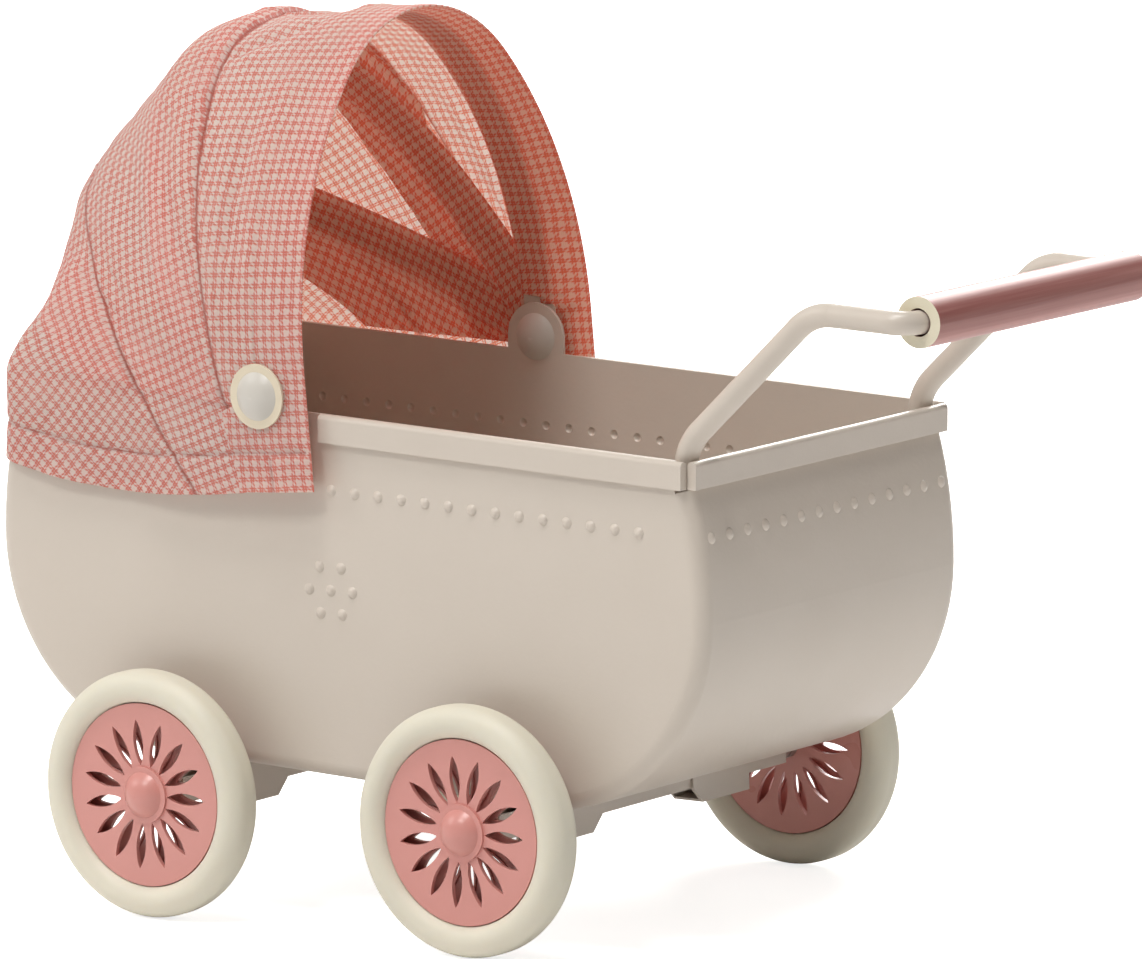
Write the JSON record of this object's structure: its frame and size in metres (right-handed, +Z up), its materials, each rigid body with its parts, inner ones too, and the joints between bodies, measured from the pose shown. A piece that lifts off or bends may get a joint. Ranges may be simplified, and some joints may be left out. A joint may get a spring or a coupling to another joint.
{
  "type": "doll pram",
  "caption": "Doll-size pram: folded tin tub with rolled rims and pressed beads, folding check-cloth hood on riveted bows, bent wire handle with turning grip, slotted disc wheels.",
  "frame": {"origin": "on the floor, on the pram's middle plane, midway between the hood's front and the grip's rear", "axes": "+Z up, +X towards the handle (the pram's rear), +Y across, to the side that is far in the picture; the tub is tipped nose-up about the Y axis on level axles"},
  "size_m": [0.1836, 0.0966, 0.1451],
  "materials": {
    "tin_paint": "satin warm grey-beige enamel on tin sheet",
    "rivet_paint": "satin grey-beige enamel on domed rivet heads",
    "washer_paper": "matt cream washer",
    "bow_tape": "cream enamel on flat spring strip",
    "check_cloth": "fine woven check in faded red and off-white cotton",
    "grip_paint": "streaked satin rose paint on turned wood",
    "tyre_cream": "matt cream moulded tyre",
    "wheel_paint": "satin dusty-rose enamel on pressed steel",
    "bare_steel": "drawn steel wire, untreated"
  },
  "bodies": {
    "tub": {"tub_side_left": "tin_paint", "tub_side_right": "tin_paint", "tub_wrap": "tin_paint", "hood_rivets": "rivet_paint", "rivet_washers": "washer_paper", "rivet_spacers": "bare_steel", "hood_rear_gore": "check_cloth", "hood_skirt": "check_cloth", "handle_wire": "tin_paint", "channel_front": "tin_paint", "channel_rear": "tin_paint", "saddles_front": "tin_paint", "saddles_rear": "tin_paint", "axle_front": "bare_steel", "axle_rear": "bare_steel", "axle_clips": "bare_steel", "axle_spacers": "bare_steel"},
    "rear_bow": {"bow_rear": "bow_tape", "hood_middle_gore": "check_cloth"},
    "middle_bow": {"bow_middle": "bow_tape", "hood_front_gore": "check_cloth"},
    "front_bow": {"bow_front": "bow_tape", "hood_hem": "check_cloth"},
    "grip": {"handle_grip": "grip_paint"},
    "wheel_fl": {"tyre_fl": "tyre_cream", "outer_disc_fl": "wheel_paint", "inner_disc_fl": "wheel_paint", "bush_fl": "bare_steel", "cap_fl": "wheel_paint"},
    "wheel_fr": {"tyre_fr": "tyre_cream", "outer_disc_fr": "wheel_paint", "inner_disc_fr": "wheel_paint", "bush_fr": "bare_steel", "cap_fr": "wheel_paint"},
    "wheel_rl": {"tyre_rl": "tyre_cream", "outer_disc_rl": "wheel_paint", "inner_disc_rl": "wheel_paint", "bush_rl": "bare_steel", "cap_rl": "wheel_paint"},
    "wheel_rr": {"tyre_rr": "tyre_cream", "outer_disc_rr": "wheel_paint", "inner_disc_rr": "wheel_paint", "bush_rr": "bare_steel", "cap_rr": "wheel_paint"}
  },
  "joints": [
    {"name": "rear_bow_fold", "type": "hinge", "parent": "tub", "child": "rear_bow", "pos_m": [-0.03265, 0, 0.08492], "axis": [0, -1, 0], "range_deg": [0, 18], "deforming": ["hood_rear_gore"]},
    {"name": "middle_bow_fold", "type": "hinge", "parent": "rear_bow", "child": "middle_bow", "pos_m": [-0.03265, 0, 0.08492], "axis": [0, -1, 0], "range_deg": [0, 28]},
    {"name": "front_bow_fold", "type": "hinge", "parent": "middle_bow", "child": "front_bow", "pos_m": [-0.03265, 0, 0.08492], "axis": [0, -1, 0], "range_deg": [0, 24]},
    {"name": "grip_spin", "type": "hinge", "parent": "tub", "child": "grip", "pos_m": [0.08773, 0, 0.10354], "axis": [0, 1, 0], "continuous": true},
    {"name": "wheel_fl_spin", "type": "hinge", "parent": "tub", "child": "wheel_fl", "pos_m": [-0.05269, 0.0439, 0.02], "axis": [0, 1, 0], "continuous": true},
    {"name": "wheel_fr_spin", "type": "hinge", "parent": "tub", "child": "wheel_fr", "pos_m": [-0.05269, -0.0439, 0.02], "axis": [0, 1, 0], "continuous": true},
    {"name": "wheel_rl_spin", "type": "hinge", "parent": "tub", "child": "wheel_rl", "pos_m": [0.0107, 0.0439, 0.02], "axis": [0, 1, 0], "continuous": true},
    {"name": "wheel_rr_spin", "type": "hinge", "parent": "tub", "child": "wheel_rr", "pos_m": [0.0107, -0.0439, 0.02], "axis": [0, 1, 0], "continuous": true}
  ],
  "couplings": [
    {"joint": "middle_bow_fold", "follows": "rear_bow_fold", "ratio": 1.5556},
    {"joint": "front_bow_fold", "follows": "rear_bow_fold", "ratio": 1.3333}
  ]
}
